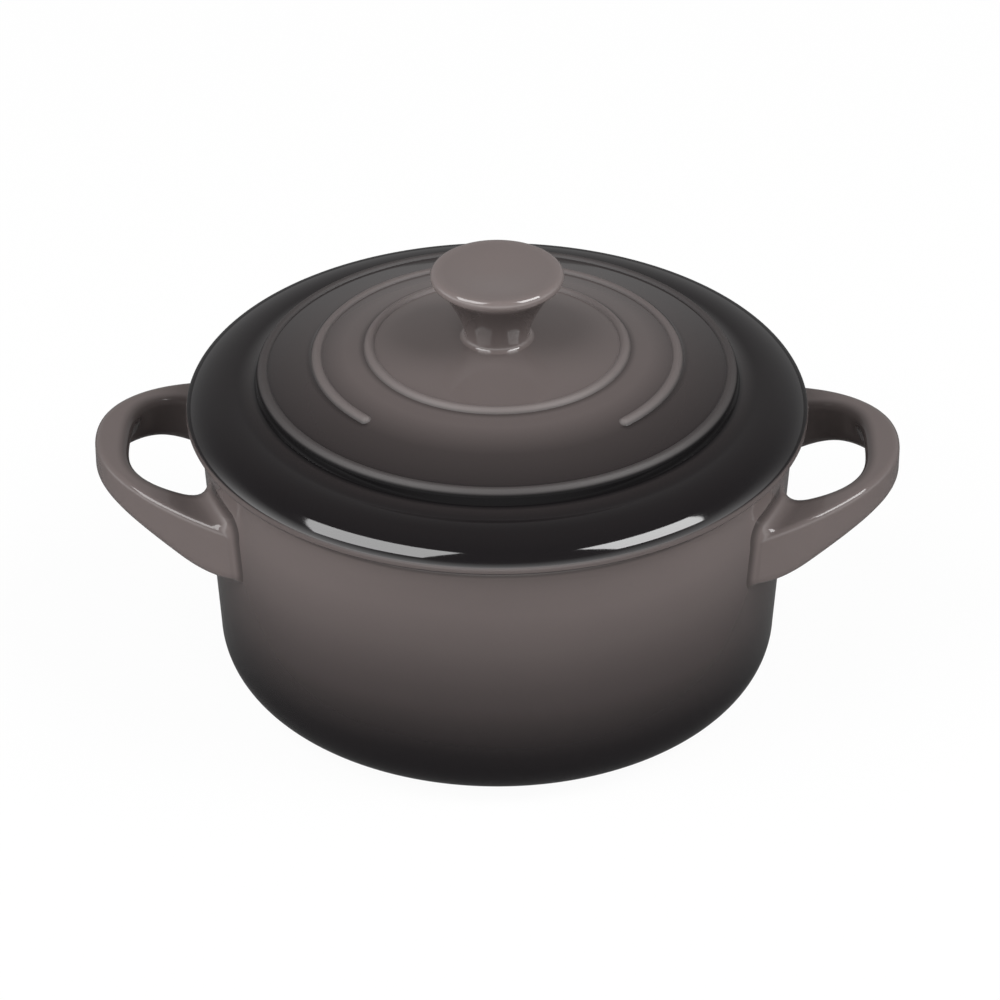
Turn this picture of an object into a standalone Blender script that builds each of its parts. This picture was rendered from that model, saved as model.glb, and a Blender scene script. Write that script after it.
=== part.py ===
"""Mini cocotte: a small round stoneware pot with two loop handles and a lift-off lid with a knob.

Metres, +Z up. The origin is the middle of the foot ring, on the table. The handles lie along X,
and the bare stretch of the lid's middle ring faces -Y.
"""

import math

import bmesh
import bpy
from mathutils import Vector

# Facets and fits
TURN_STEPS = 64
SEAT_GAP = 0.0003
LID_CLEARANCE = 0.0010
MERGE_DISTANCE = 0.000001

# Pot body
POT_HEIGHT = 0.0498
POT_RIM_RADIUS = 0.0516
POT_BASE_RADIUS = 0.0485
POT_WALL = 0.0050
POT_FLOOR = 0.0060
POT_CORNER_RADIUS = 0.0086
POT_INNER_CORNER = 0.0070
POT_RIM_ROUND = 0.0016
FOOT_RING_WIDTH = 0.0050
FOOT_RECESS = 0.0012

# Loop handles
HANDLE_REACH = 0.0184
HANDLE_DROP = 0.00543
HANDLE_DEPTH = 0.0462
HANDLE_HALF_WIDTH = 0.0282
HANDLE_POWER = 2.14
HANDLE_BAND_WIDTH = 0.0060
HANDLE_TIP_HEIGHT = 0.0071
HANDLE_TOP_FALL = 0.00336
HANDLE_TOP_POWER = 1.15
HANDLE_BOTTOM_FALL = 0.00654
HANDLE_BOTTOM_POWER = 1.62
HANDLE_LEVEL_START = 0.020608
HANDLE_LEVEL_EASE = 0.0046
HANDLE_EDGE_ROUND = 0.0016
HANDLE_ROOT_DEPTH = 0.0050
HANDLE_OUTLINE_STEPS = 48
HANDLE_STATIONS = 22
HANDLE_EDGE_STEPS = 3

# Finger hole inside each handle, a squarish arch
HOLE_DEPTH = 0.0155
HOLE_HALF_WIDTH = 0.01515
HOLE_POWER = 2.98

# Lid rim and shoulder
LID_OVERHANG = 0.00225
LID_EDGE_HEIGHT = 0.0006
LID_EDGE_ROUND = 0.0004
LID_SHOULDER_RUN = 0.0084
LID_SHOULDER_RISE = 0.0043
LID_FLANGE_DEPTH = 0.0040
LID_FLANGE_WIDTH = 0.0035
LID_FLANGE_ROUND = 0.0010
LID_THICKNESS = 0.0052
LID_UNDERSIDE_STEP = 0.0020

# Lid valley, step and dome
LID_VALLEY_WIDTH = 0.00035
LID_STEP_RUN = 0.0040
LID_STEP_RISE = 0.0027
LID_DOME_RISE = 0.00656
DOME_STEPS = 3
LID_WALL_RUN = 0.0003
LID_WALL_DROP = 0.0017
APRON_STEPS = 4

# Raised rings on the dome, from the outermost in
RING_WIDTH = 0.0019
RING_HEIGHT = 0.00065
RING_1_INSET = 0.0006
RING_2_SPACING = 0.0094
RING_3_SPACING = 0.0091
RING_STEPS = 4

# Bare stretch of the middle ring, counted each way from the front
RING_BREAK_ANGLE = math.radians(44.5)
RING_BREAK_FADE = math.radians(4)

# Lid knob
KNOB_HEIGHT = 0.0126
KNOB_STEM_RADIUS = 0.0056
KNOB_CAP_RADIUS = 0.01145
KNOB_RIM_ROUND = 0.0011
KNOB_DISH = 0.0008
KNOB_FLARE_POWER = 1.5
KNOB_SEAT_MARGIN = 0.0008
KNOB_FLARE_STEPS = 7
KNOB_DISH_STEPS = 3

# Facets along the profiles' arcs
ARC_STEPS = 4
LONG_ARC_STEPS = 8
SMALL_ARC_STEPS = 2
SMOOTH_ANGLE = math.radians(40)

# Glaze colours, as linear values, and gloss
TAUPE = (0.150, 0.125, 0.118, 1.0)
CHARCOAL = (0.035, 0.031, 0.031, 1.0)
GLAZE_ROUGHNESS = 0.15


def clear_scene():
    for found in list(bpy.data.objects):
        bpy.data.objects.remove(found)


def glaze(name, colour):
    """A glossy fired glaze of one colour."""
    made = bpy.data.materials.new(name)
    made.use_nodes = True
    shader = made.node_tree.nodes["Principled BSDF"]
    shader.inputs["Base Color"].default_value = colour
    shader.inputs["Roughness"].default_value = GLAZE_ROUGHNESS
    shader.inputs["Metallic"].default_value = 0.0
    made.diffuse_color = colour
    return made


def frame_empty(name, location, parent=None):
    made = bpy.data.objects.new(name, None)
    bpy.context.scene.collection.objects.link(made)
    made.location = location
    made.parent = parent
    return made


def place(name, mesh, material, parent, location=(0, 0, 0), turn=0.0):
    """Links a smooth-shaded piece under its frame."""
    mesh.shade_smooth()
    mesh.set_sharp_from_angle(angle=SMOOTH_ANGLE)
    mesh.materials.append(material)
    made = bpy.data.objects.new(name, mesh)
    bpy.context.scene.collection.objects.link(made)
    made.parent = parent
    made.location = location
    made.rotation_euler = (0, 0, turn)
    return made


def smooth(x):
    """0 below 0, 1 above 1, level at both ends."""
    t = min(max(x, 0.0), 1.0)
    return t * t * (3 - 2 * t)


def arc(centre, run, rise, start, end, steps=ARC_STEPS):
    """Profile points (radius, height) on an ellipse's arc, with angles in degrees."""
    points = []
    for step in range(steps + 1):
        angle = math.radians(start + (end - start) * step / steps)
        points.append((centre[0] + run * math.cos(angle), centre[1] + rise * math.sin(angle)))
    return points


def turned(name, profile):
    """A closed solid, spun from a profile that starts and ends on the axis."""
    bm = bmesh.new()
    line = [bm.verts.new((radius, 0.0, height)) for radius, height in profile]
    edges = [bm.edges.new(pair) for pair in zip(line, line[1:])]
    bmesh.ops.spin(bm, geom=line + edges, cent=(0, 0, 0), axis=(0, 0, 1), angle=math.tau,
                   steps=TURN_STEPS, use_merge=True)
    bmesh.ops.remove_doubles(bm, verts=bm.verts, dist=MERGE_DISTANCE)
    bmesh.ops.recalc_face_normals(bm, faces=bm.faces)
    return bm_to_mesh(bm, name)


def bm_to_mesh(bm, name):
    mesh = bpy.data.meshes.new(name)
    bm.to_mesh(mesh)
    bm.free()
    return mesh


def wall_radius(height):
    """The pot's outer wall, a straight taper from the base up to the rim."""
    return POT_BASE_RADIUS + (POT_RIM_RADIUS - POT_BASE_RADIUS) * height / POT_HEIGHT


def pot_profile():
    inner_top = POT_FLOOR + POT_INNER_CORNER
    inner_centre = (wall_radius(inner_top) - POT_WALL - POT_INNER_CORNER, inner_top)
    rim = min(POT_RIM_ROUND, POT_WALL / 2)
    rim_level = POT_HEIGHT - rim
    rim_inner = (wall_radius(rim_level) - POT_WALL + rim, rim_level)
    rim_outer = (wall_radius(rim_level) - rim, rim_level)
    foot_outer = wall_radius(POT_CORNER_RADIUS) - POT_CORNER_RADIUS
    foot_inner = foot_outer - FOOT_RING_WIDTH
    points = [(0.0, POT_FLOOR)]
    points += arc(inner_centre, POT_INNER_CORNER, POT_INNER_CORNER, -90, 0)
    points += arc(rim_inner, rim, rim, 180, 90)
    points += arc(rim_outer, rim, rim, 90, 0)
    points += arc((foot_outer, POT_CORNER_RADIUS), POT_CORNER_RADIUS, POT_CORNER_RADIUS, 0, -90)
    points += [(foot_inner, 0.0), (foot_inner - FOOT_RECESS, FOOT_RECESS), (0.0, FOOT_RECESS)]
    return points


def handle_tip():
    """How far the handles reach from the pot's axis."""
    return POT_RIM_RADIUS + HANDLE_REACH


def half_loop(tip, depth, half_width, power):
    """Half of a D-shaped outline seen from above, from its tip round to its side and into the wall."""
    wall = wall_radius(POT_HEIGHT / 2)
    outline = []
    for step in range(HANDLE_OUTLINE_STEPS + 1):
        angle = math.pi / 2 * step / HANDLE_OUTLINE_STEPS
        along = tip - depth + depth * max(math.cos(angle), 0.0) ** (2 / power)
        outline.append(Vector((along, half_width * math.sin(angle) ** (2 / power))))
        if outline[-1].length < wall - HANDLE_ROOT_DEPTH:
            return outline
    outline.append(Vector((math.sqrt(wall ** 2 - half_width ** 2) - HANDLE_ROOT_DEPTH, half_width)))
    return outline


def even_points(outline, count):
    """Points at even distances along an outline."""
    lengths = [0.0]
    for spot, after in zip(outline, outline[1:]):
        lengths.append(lengths[-1] + (after - spot).length)
    points = []
    piece = 0
    for step in range(count + 1):
        at = lengths[-1] * step / count
        while piece < len(outline) - 2 and lengths[piece + 1] < at:
            piece += 1
        share = (at - lengths[piece]) / (lengths[piece + 1] - lengths[piece])
        points.append(outline[piece].lerp(outline[piece + 1], share))
    return points


def handle_path():
    """Stations round the loop: a point on the band's outer edge and one on the hole's edge."""
    tip = handle_tip()
    outer = half_loop(tip, HANDLE_DEPTH, HANDLE_HALF_WIDTH, HANDLE_POWER)
    inner = half_loop(tip - HANDLE_BAND_WIDTH, HOLE_DEPTH, HOLE_HALF_WIDTH, HOLE_POWER)
    half = list(zip(even_points(outer, HANDLE_STATIONS), even_points(inner, HANDLE_STATIONS)))
    flip = Vector((1, -1))
    mirrored = [(outer_spot * flip, inner_spot * flip) for outer_spot, inner_spot in reversed(half[1:])]
    return mirrored + half


def levelled(back):
    """The way back from the tip, which stops growing softly where the limb nears the wall."""
    ease = max(1 - abs(back - HANDLE_LEVEL_START) / HANDLE_LEVEL_EASE, 0.0)
    return min(back, HANDLE_LEVEL_START) - HANDLE_LEVEL_EASE / 4 * ease ** 2


def band_section(outer, inner):
    """One rounded cross-section between the band's two edges, its top level with zero at the tip."""
    width = (inner - outer).length
    across = (inner - outer).normalized()
    edge = min(HANDLE_EDGE_ROUND, width / 2, HANDLE_TIP_HEIGHT / 2)
    section = []
    for quarter in range(4):
        for step in range(HANDLE_EDGE_STEPS + 1):
            angle = math.pi / 2 * (quarter + step / HANDLE_EDGE_STEPS)
            inset = edge if quarter in (0, 3) else width - edge
            spot = outer + across * (inset - edge * math.cos(angle))
            back = max(handle_tip() - spot.x, 0.0)
            if quarter in (0, 1):
                corner = -HANDLE_TOP_FALL * (back / HANDLE_REACH) ** HANDLE_TOP_POWER - edge
            else:
                fall = HANDLE_BOTTOM_FALL * (levelled(back) / HANDLE_REACH) ** HANDLE_BOTTOM_POWER
                corner = edge - HANDLE_TIP_HEIGHT - fall
            section.append(Vector((spot.x, spot.y, corner + edge * math.sin(angle))))
    return section


def handle_mesh(name):
    """A band swept round the loop, with its two ends buried in the pot's wall."""
    bm = bmesh.new()
    rings = [[bm.verts.new(spot) for spot in band_section(*station)] for station in handle_path()]
    for ring, after in zip(rings, rings[1:]):
        for k in range(len(ring)):
            following = (k + 1) % len(ring)
            bm.faces.new((ring[k], ring[following], after[following], after[k]))
    bm.faces.new(rings[0])
    bm.faces.new(rings[-1])
    bmesh.ops.recalc_face_normals(bm, faces=bm.faces)
    return bm_to_mesh(bm, name)


def wall_cutter(parent):
    """The pot's outer wall grown by the seat gap, which trims the handles' roots."""
    low = POT_CORNER_RADIUS
    high = POT_HEIGHT
    profile = [(0.0, high), (wall_radius(high) + SEAT_GAP, high),
               (wall_radius(low) + SEAT_GAP, low), (0.0, low)]
    cutter = bpy.data.objects.new("wall_cutter", turned("wall_cutter", profile))
    bpy.context.scene.collection.objects.link(cutter)
    cutter.parent = parent
    cutter.hide_render = True
    cutter.display_type = "WIRE"
    return cutter


def lid_edge():
    """The lid overhangs the pot's rim all round."""
    return POT_RIM_RADIUS + LID_OVERHANG


def valley_edge():
    """Radius where the valley inside the shoulder ends and the step up to the dome starts."""
    return lid_edge() - LID_SHOULDER_RUN - LID_VALLEY_WIDTH


def dome_edge():
    return valley_edge() - LID_STEP_RUN


def ring_radii():
    """Crest radius of each ring, from the outermost in."""
    first = dome_edge() - RING_1_INSET
    second = first - RING_2_SPACING
    return first, second, second - RING_3_SPACING


def knob_seat():
    """Radius of the flat crown that the knob stands on."""
    return KNOB_STEM_RADIUS + KNOB_SEAT_MARGIN


def dome_height(radius):
    """Height of the dome above the lid's seat, without its rings."""
    foot = LID_EDGE_HEIGHT + LID_SHOULDER_RISE + LID_STEP_RISE
    return foot + LID_DOME_RISE * (1 - (radius / dome_edge()) ** 2)


def ring_height(radius, crest):
    """How far a ring stands over the dome."""
    return RING_HEIGHT * max(1 - ((radius - crest) / (RING_WIDTH / 2)) ** 2, 0.0)


def lid_crown():
    return dome_height(knob_seat())


def flange_outer():
    """The locating flange drops inside the pot's rim with a clearance."""
    return wall_radius(POT_HEIGHT) - POT_WALL - LID_CLEARANCE


def lid_underside(radius):
    """Height of the domed underside, inside the flange."""
    edge = flange_outer() - LID_FLANGE_WIDTH
    centre = lid_crown() - LID_THICKNESS
    return centre - (centre - LID_UNDERSIDE_STEP) * (radius / edge) ** 2


def lid_profile():
    edge = lid_edge()
    points = [(0.0, lid_crown()), (knob_seat(), lid_crown())]
    for crest in reversed(ring_radii()):
        inner_foot = crest - RING_WIDTH / 2
        start = points[-1][0]
        for step in range(1, DOME_STEPS):
            radius = start + (inner_foot - start) * step / DOME_STEPS
            points.append((radius, dome_height(radius)))
        for step in range(RING_STEPS + 1):
            radius = inner_foot + RING_WIDTH * step / RING_STEPS
            points.append((radius, dome_height(radius) + ring_height(radius, crest)))
    wall_foot = points[-1][0] + LID_WALL_RUN
    apron = points[-1][1] - LID_WALL_DROP
    valley = LID_EDGE_HEIGHT + LID_SHOULDER_RISE
    for step in range(APRON_STEPS + 1):
        share = step / APRON_STEPS
        radius = wall_foot + (valley_edge() - wall_foot) * share
        points.append((radius, valley + (apron - valley) * (1 - share) ** 2))
    shoulder_centre = (edge - LID_SHOULDER_RUN, LID_EDGE_HEIGHT)
    edge_centre = (edge - LID_EDGE_ROUND, LID_EDGE_ROUND)
    points += arc(shoulder_centre, LID_SHOULDER_RUN, LID_SHOULDER_RISE, 90, 0, LONG_ARC_STEPS)
    points += arc(edge_centre, LID_EDGE_ROUND, LID_EDGE_ROUND, 0, -90, SMALL_ARC_STEPS)
    outer = flange_outer()
    inner = outer - LID_FLANGE_WIDTH
    lip = min(LID_FLANGE_ROUND, LID_FLANGE_WIDTH / 2)
    low = lip - LID_FLANGE_DEPTH
    points.append((outer, 0.0))
    points += arc((outer - lip, low), lip, lip, 0, -90, SMALL_ARC_STEPS)
    points += arc((inner + lip, low), lip, lip, -90, -180, SMALL_ARC_STEPS)
    for step in range(ARC_STEPS):
        radius = inner * (1 - step / ARC_STEPS)
        points.append((radius, lid_underside(radius)))
    points.append((0.0, lid_underside(0.0)))
    return points


def level_ring_break(mesh):
    """Takes the middle ring off the dome over the bare stretch at the front."""
    crest = ring_radii()[1]
    for vertex in mesh.vertices:
        radius = math.hypot(vertex.co.x, vertex.co.y)
        if vertex.co.z < dome_height(radius):
            continue
        from_front = abs(math.atan2(vertex.co.x, -vertex.co.y))
        bare = 1 - smooth((from_front - RING_BREAK_ANGLE) / RING_BREAK_FADE + 0.5)
        vertex.co.z -= bare * ring_height(radius, crest)


def knob_profile():
    rim_x = KNOB_CAP_RADIUS - KNOB_RIM_ROUND
    flare_top = KNOB_HEIGHT - 2 * KNOB_RIM_ROUND
    points = [(0.0, 0.0)]
    for step in range(KNOB_FLARE_STEPS):
        t = step / KNOB_FLARE_STEPS
        points.append((KNOB_STEM_RADIUS + (rim_x - KNOB_STEM_RADIUS) * t ** KNOB_FLARE_POWER, flare_top * t))
    rim_centre = (rim_x, KNOB_HEIGHT - KNOB_RIM_ROUND)
    points += arc(rim_centre, KNOB_RIM_ROUND, KNOB_RIM_ROUND, -90, 90, LONG_ARC_STEPS)
    for step in range(1, KNOB_DISH_STEPS + 1):
        inward = step / KNOB_DISH_STEPS
        points.append((rim_x * (1 - inward), KNOB_HEIGHT - KNOB_DISH * smooth(inward)))
    return points


def build():
    clear_scene()
    pot_frame = frame_empty("pot_frame", (0, 0, 0))
    lid_frame = frame_empty("lid_frame", (0, 0, POT_HEIGHT + SEAT_GAP))
    cutter = wall_cutter(pot_frame)

    place("pot_body", turned("pot_body", pot_profile()), glaze("pot_glaze", TAUPE), pot_frame)

    for name, turn in (("right_handle", 0.0), ("left_handle", math.pi)):
        handle = place(name, handle_mesh(name), glaze(name + "_glaze", TAUPE), pot_frame,
                       (0, 0, POT_HEIGHT - HANDLE_DROP), turn)
        trim = handle.modifiers.new("trim_to_wall", "BOOLEAN")
        trim.operation = "DIFFERENCE"
        trim.object = cutter

    lid_mesh = turned("lid", lid_profile())
    level_ring_break(lid_mesh)
    place("lid", lid_mesh, glaze("lid_glaze", CHARCOAL), lid_frame)
    place("lid_knob", turned("lid_knob", knob_profile()), glaze("knob_glaze", TAUPE), lid_frame,
          (0, 0, lid_crown() + SEAT_GAP))


build()
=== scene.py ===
"""Looks of a mini cocotte: a glazed stoneware pot with loop handles and a ringed lid with a knob.

Every size is in metres, in the CAD's frame: +Z up, the handles along X, the viewer of the photo at -Y.
"""

import math

import bmesh
import bpy
import numpy as np
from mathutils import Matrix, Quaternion, Vector


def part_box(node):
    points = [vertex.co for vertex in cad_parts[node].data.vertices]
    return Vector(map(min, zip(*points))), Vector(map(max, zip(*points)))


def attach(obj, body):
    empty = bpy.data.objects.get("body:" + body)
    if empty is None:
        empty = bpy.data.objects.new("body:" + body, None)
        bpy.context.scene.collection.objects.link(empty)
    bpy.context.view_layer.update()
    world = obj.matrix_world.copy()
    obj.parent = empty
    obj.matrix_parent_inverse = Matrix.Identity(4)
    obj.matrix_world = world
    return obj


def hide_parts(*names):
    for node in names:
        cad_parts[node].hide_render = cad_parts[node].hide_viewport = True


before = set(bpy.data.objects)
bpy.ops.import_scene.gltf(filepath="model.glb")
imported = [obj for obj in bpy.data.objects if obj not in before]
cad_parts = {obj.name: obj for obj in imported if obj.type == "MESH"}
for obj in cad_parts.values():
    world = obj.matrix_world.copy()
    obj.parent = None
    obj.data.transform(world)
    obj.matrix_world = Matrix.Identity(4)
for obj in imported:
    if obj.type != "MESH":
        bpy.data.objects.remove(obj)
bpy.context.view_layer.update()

# Outer sizes that the frame gives
POT_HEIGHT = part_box("pot_body")[1].z
LID_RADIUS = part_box("lid")[1].x
KNOB_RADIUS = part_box("lid_knob")[1].x
KNOB_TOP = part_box("lid_knob")[1].z
HANDLE_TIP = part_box("right_handle")[1].x

# Pot body
SEAT_GAP = 0.0003
POT_RIM_RADIUS = 0.0516
POT_BASE_RADIUS = 0.0485
POT_WALL = 0.0050
POT_FLOOR = 0.0060
POT_CORNER = 0.0086
POT_INNER_CORNER = 0.0070
POT_RIM_ROUND = 0.0016
FOOT_WIDTH = 0.0050
FOOT_RECESS = 0.0012
FOOT_ROUND = 0.0006

# Handles. LEVEL_START and LEVEL_EASE are shares of the reach.
HANDLE_DROP = 0.00543
HANDLE_REACH = HANDLE_TIP - POT_RIM_RADIUS
HANDLE_DEPTH = 0.0462
HANDLE_HALF_WIDTH = 0.0282
HANDLE_POWER = 2.14
BAND_WIDTH = 0.0060
BAND_TIP_HEIGHT = 0.0071
BAND_TOP_FALL = 0.00336
BAND_TOP_POWER = 1.15
BAND_BOTTOM_FALL = 0.00654
BAND_BOTTOM_POWER = 1.62
LEVEL_START = 1.12
LEVEL_EASE = 0.25
OUTER_TOP_ROUND = 0.0013
INNER_TOP_ROUND = 0.0013
INNER_BOTTOM_ROUND = 0.0022
OUTER_BOTTOM_ROUND = 0.0024
HOLE_DEPTH = 0.0155
HOLE_HALF_WIDTH = 0.01515
HOLE_POWER = 2.98
UNDERCUT = 0.0026
UNDERCUT_SPAN = 0.0120
NECK_RUN = 0.0019
NECK_DROP = 0.0015
ROOT_DEPTH = 0.0020
ROOT_TOP_FILLET = 0.0050
ROOT_INNER_FILLET = 0.0055
ROOT_OUTER_FILLET = 0.0016
ROOT_BOTTOM_FILLET = 0.0016
ROOT_SINK = 0.00005

# Lid
LID_EDGE_HEIGHT = 0.0006
LID_EDGE_ROUND = 0.0004
SHOULDER_RUN = 0.0084
SHOULDER_RISE = 0.0043
VALLEY_WIDTH = 0.00035
STEP_RUN = 0.0040
STEP_RISE = 0.0027
WALL_RUN = 0.0003
WALL_DROP = 0.0017
DOME_RISE = 0.00656
RING_WIDTH = 0.0019
RING_HEIGHT = 0.00065
RING_INSETS = (0.0006, 0.0100, 0.0191)
BROKEN_RING = 1
RING_BREAK = math.radians(44.5)
FLANGE_CLEARANCE = 0.0010
FLANGE_WIDTH = 0.0035
FLANGE_DEPTH = 0.0040
FLANGE_ROUND = 0.0010
LID_THICKNESS = 0.0052
UNDERSIDE_STEP = 0.0020

# Knob
KNOB_STEM = 0.0056
KNOB_SEAT = 0.0064
KNOB_RIM_ROUND = 0.0011
KNOB_DISH = 0.0008
KNOB_FLARE_POWER = 1.5
KNOB_FILLET = 0.0008
KNOB_SINK = 0.0001

# Mesh fineness
TURN_SEGMENTS = 256
POT_FLOOR_STEPS = 12
INNER_CORNER_STEPS = 16
INNER_WALL_STEPS = 16
RIM_STEPS = 8
OUTER_WALL_STEPS = 24
OUTER_CORNER_STEPS = 24
FOOT_STEPS = 4
RECESS_STEPS = 10
OUTLINE_STEPS = 600
BAND_STATIONS = 300
LIMB_STEPS = 60
LIMB_CROWDING = 1.5
FILLET_STEPS = 10
CORNER_STEPS = 8
FACE_STEPS = 5
RING_END_SPAN = math.radians(3)
RING_END_STEPS = 16
CROWN_STEPS = 4
TERRACE_STEPS = 12
RING_STEPS = 14
LID_WALL_STEPS = 4
APRON_STEPS = 14
VALLEY_STEPS = 5
SHOULDER_STEPS = 36
LID_EDGE_STEPS = 3
LID_ROUND_STEPS = 6
SEAT_STEPS = 6
FLANGE_OUTER_STEPS = 3
FLANGE_INNER_STEPS = 4
UNDERSIDE_STEPS = 24
KNOB_SEGMENTS = 128
KNOB_FILLET_STEPS = 8
KNOB_FLARE_STEPS = 24
KNOB_RIM_STEPS = 20
KNOB_DISH_STEPS = 16
CREASE_ANGLE = math.radians(45)

# Glaze: linear colours, stops (a place and a share of taupe), and DIM values that multiply a colour
TAUPE = (0.140, 0.117, 0.113)
CHARCOAL = (0.0045, 0.0040, 0.0048)
CLAY = (0.42, 0.34, 0.27, 1.0)

# Glaze on the pot. The edges of the inside are shares of the wall and of the floor.
POT_STOPS = ((0.0070, 0.03), (0.0100, 0.048), (0.0129, 0.11), (0.0169, 0.20), (0.0208, 0.31), (0.0247, 0.39),
             (0.0286, 0.495), (0.0325, 0.62), (0.0365, 0.73), (0.0404, 0.84), (0.0450, 0.88))
DRIFT_SCALE = 25.0
DRIFT_SPAN = 0.0024
INSIDE_TAUPE = 1.0
INSIDE_WALL = (0.5, 0.9)
INSIDE_FLOOR = (0.8, 0.95)
# Painted shadow of the lid's overhang, darker round the top of the pot's outer wall
RIM_SHADOW_LOW = 0.0020
RIM_SHADOW_HIGH = 0.0014
RIM_SHADOW_DIM = 0.65

# Glaze on the handles. The loop's edges are values of its outline's equation, which is 1 on the outline.
# HANDLE_STOPS paint the handle lighter towards its root: painted light where the lid shades it
HANDLE_STOPS = ((0.050, 1.02), (0.058, 0.93), (0.070, 0.88))
# The loop values paint shade inside the handle's loop
LOOP_EDGE = 1.02
LOOP_FADE = 1.5
LOOP_START = 0.0030
LOOP_SHADE_DIM = 0.45
# The join values darken the crease at the wall: glaze pooled there, and painted shade
JOIN_WIDTH = 0.0008
JOIN_POOL_AND_SHADE_DIM = 0.38

# Glaze on the lid. The edges of the rings and pools are in half widths of a ring.
# DOME_STOPS: the near-black stops at the step's foot are painted shade in the groove
DOME_STOPS = ((0.0060, 0.78), (0.0205, 0.80), (0.0232, 0.68), (0.0262, 0.66), (0.0300, 0.42),
              (0.0325, 0.27), (0.0390, 0.165), (0.0414, 0.02), (0.0418, 0.02), (0.0425, 0.115),
              (0.0445, 0.06), (0.0490, 0.05), (0.0520, 0.03))
RING_STOPS = ((0.022, 0.82), (0.031, 0.70), (0.0405, 0.22))
RING_PALE = (1.05, 0.60)
RING_MATTE = (1.15, 0.95)
RING_ROUGH = 0.60
# The pools darken each ring's outer side: glaze pooled there, and painted shade
POOL_START = (0.4, 0.8)
POOL_WIDTH = 0.0012
RING_POOL_AND_SHADE_DIM = 0.55
GROOVE_SHINE = 0.10
GROOVE_FADE = 0.0003
EDGE_PALE_HIGH = 0.0016
EDGE_PALE_LOW = 0.0010
EDGE_TAUPE = 0.70
# The lip values paint a shadow along the foot of the lid's edge
LIP_HIGH = 0.00038
LIP_LOW = 0.00018
LIP_SHADOW_TAUPE = 0.05
UNDERSIDE_DEPTH = 0.0031
UNDERSIDE_FADE = 0.0008

# Glaze on the knob
KNOB_STOPS = ((0.0, 1.02), (0.0090, 0.97), (0.0105, 1.05), (0.01145, 1.15))
# The under-cap values paint shade on the stem under the cap
UNDER_CAP_HIGH = 0.0022
UNDER_CAP_LOW = 0.0034
UNDER_CAP_SHADE_DIM = 0.46

# Gloss, bare clay and fine texture
POT_INDEX = 1.5
LID_INDEX = 1.62
GLAZE_SHINE = 0.5
GLAZE_ROUGH = 0.045
GLAZE_ROUGH_SPREAD = 0.03
FOOT_BARE = 0.0003
FLANGE_BARE = 0.0006
CLAY_FADE = 0.0002
CLAY_ROUGH = 0.85
CLOUD_SCALE = 45.0
CLOUD_DETAIL = 3.0
CLOUD_DEPTH = 0.08
SPECK_SCALE = 1600.0
SPECK_DETAIL = 2.0
SPECK_DEPTH = 0.03
PEEL_SCALE = 420.0
PEEL_STRENGTH = 0.02
PEEL_DEPTH = 0.0002

# Studio: lamps' angles in degrees, and the surroundings' levels and edges as parts of a unit direction
LAMP_DISTANCE = 1.2
LEFT_LAMP = {"azimuth": -58.3, "elevation": 52.8, "roll": 25,
             "width": 0.792, "height": 0.780, "radiance": 5.9}
RIGHT_LAMP = {"azimuth": 72.0, "elevation": 50.1, "roll": -22,
              "width": 0.624, "height": 0.600, "radiance": 9.2}
STUDIO_LOW = 0.32
STUDIO_HIGH = 0.06
STUDIO_LEVELS = (0.1, 0.85)
FRONT_STRENGTH = 1.6
FRONT_LEVELS = (0.05, 0.60)
FRONT_EDGES = (0.6, -0.1)
FRONT_LEAN = -0.25
FLOOR_HALF = 4.0
FLOOR_GAP = 0.0002
FLOOR_TONE = 0.8
FLOOR_WHITE = 0.955
# Glossy rays see the floor painted dim near the pot: a painted shadow in reflections
FLOOR_NEAR = 0.09
FLOOR_FAR = 0.35
FLOOR_SHADOW_DIM = 0.12

# Camera, from the photo's outline
CAMERA_DISTANCE = 0.800
CAMERA_ELEVATION = math.radians(32.29)
CAMERA_AZIMUTH = math.radians(0.9)
CAMERA_LENS = 164.0
SENSOR_WIDTH = 36.0
AIM_HEIGHT = 0.03072
AIM_RIGHT = 0.0005


def smooth(x):
    """0 below 0, 1 above 1, level at both ends."""
    t = np.clip(x, 0.0, 1.0)
    return t * t * (3 - 2 * t)


def arc(centre, run, rise, start, end, steps):
    """Profile points (radius, height) on an ellipse's arc, with angles in degrees."""
    angles = np.radians(np.linspace(start, end, steps + 1))
    return [(centre[0] + run * math.cos(a), centre[1] + rise * math.sin(a)) for a in angles]


def line(start, end, steps):
    """Points strictly between two profile points."""
    return [tuple(np.array(start) + (np.array(end) - np.array(start)) * k / steps) for k in range(1, steps)]


def even_angles(segments):
    """Directions evenly round a circle."""
    return np.linspace(0, math.tau, segments, endpoint=False)


def turned_points(profile, angles):
    """Spins a profile that starts and ends on the axis: rings of points, and the point at each pole."""
    rings = np.array(profile[1:-1])
    radius = rings[:, :1]
    points = np.stack([radius * np.cos(angles), radius * np.sin(angles),
                       np.repeat(rings[:, 1:], len(angles), axis=1)], axis=-1)
    return points, (0.0, 0.0, profile[0][1]), (0.0, 0.0, profile[-1][1])


def ring_faces(count, segments):
    """Quads between neighbouring closed rings of points."""
    faces = []
    for row in range(count - 1):
        here = row * segments
        after = here + segments
        for k in range(segments):
            n = (k + 1) % segments
            faces.append((here + k, here + n, after + n, after + k))
    return faces


def closed_mesh(name, rings, first_pole, last_pole):
    """A closed mesh of rings with a fan of triangles at each end."""
    count, segments = rings.shape[:2]
    vertices = [tuple(p) for p in rings.reshape(-1, 3)] + [tuple(first_pole), tuple(last_pole)]
    first = count * segments
    last = first + 1
    tail = (count - 1) * segments
    faces = ring_faces(count, segments)
    faces += [(first, (k + 1) % segments, k) for k in range(segments)]
    faces += [(last, tail + k, tail + (k + 1) % segments) for k in range(segments)]
    mesh = bpy.data.meshes.new(name)
    mesh.from_pydata(vertices, [], faces)
    mesh.validate()
    mesh.shade_smooth()
    return mesh


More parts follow.
